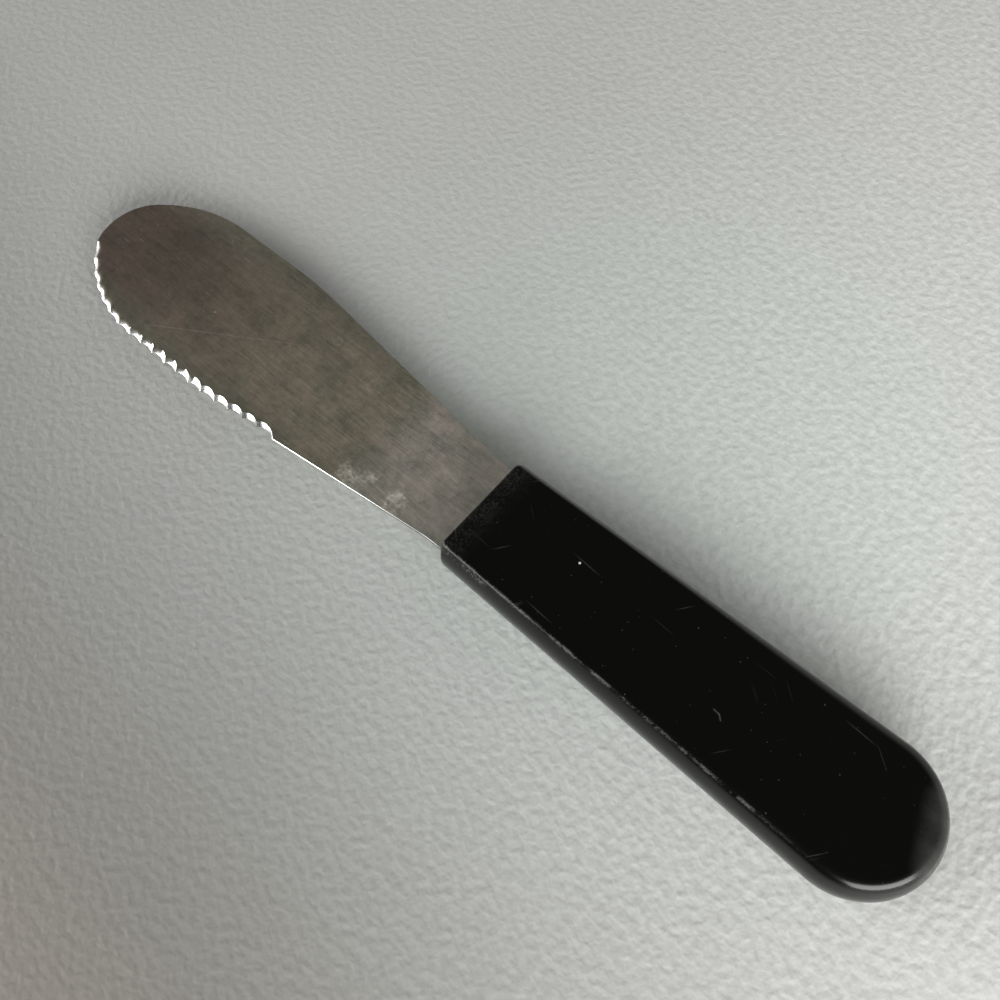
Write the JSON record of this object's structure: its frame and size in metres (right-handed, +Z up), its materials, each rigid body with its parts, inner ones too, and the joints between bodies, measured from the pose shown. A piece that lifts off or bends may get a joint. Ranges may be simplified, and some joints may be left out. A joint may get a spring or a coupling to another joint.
{
  "type": "spreader knife",
  "caption": "Wide round-nosed spreader knife: a stainless blade with one scalloped edge, its tang held in a flat black plastic handle.",
  "frame": {"origin": "middle of the knife's length and width, on the face it lies on", "axes": "+X towards the blade's tip, +Y towards the scalloped edge, +Z up, away from the face it lies on"},
  "size_m": [0.2226, 0.0364, 0.0116],
  "materials": {
    "blade_steel": "fine lengthwise brushing, worn, with light scratches and water stains",
    "handle_plastic": "moulded black plastic, satin, with scuffs and a whitened upper edge"
  },
  "bodies": {
    "root": {"blade": "blade_steel", "handle": "handle_plastic"}
  },
  "joints": []
}
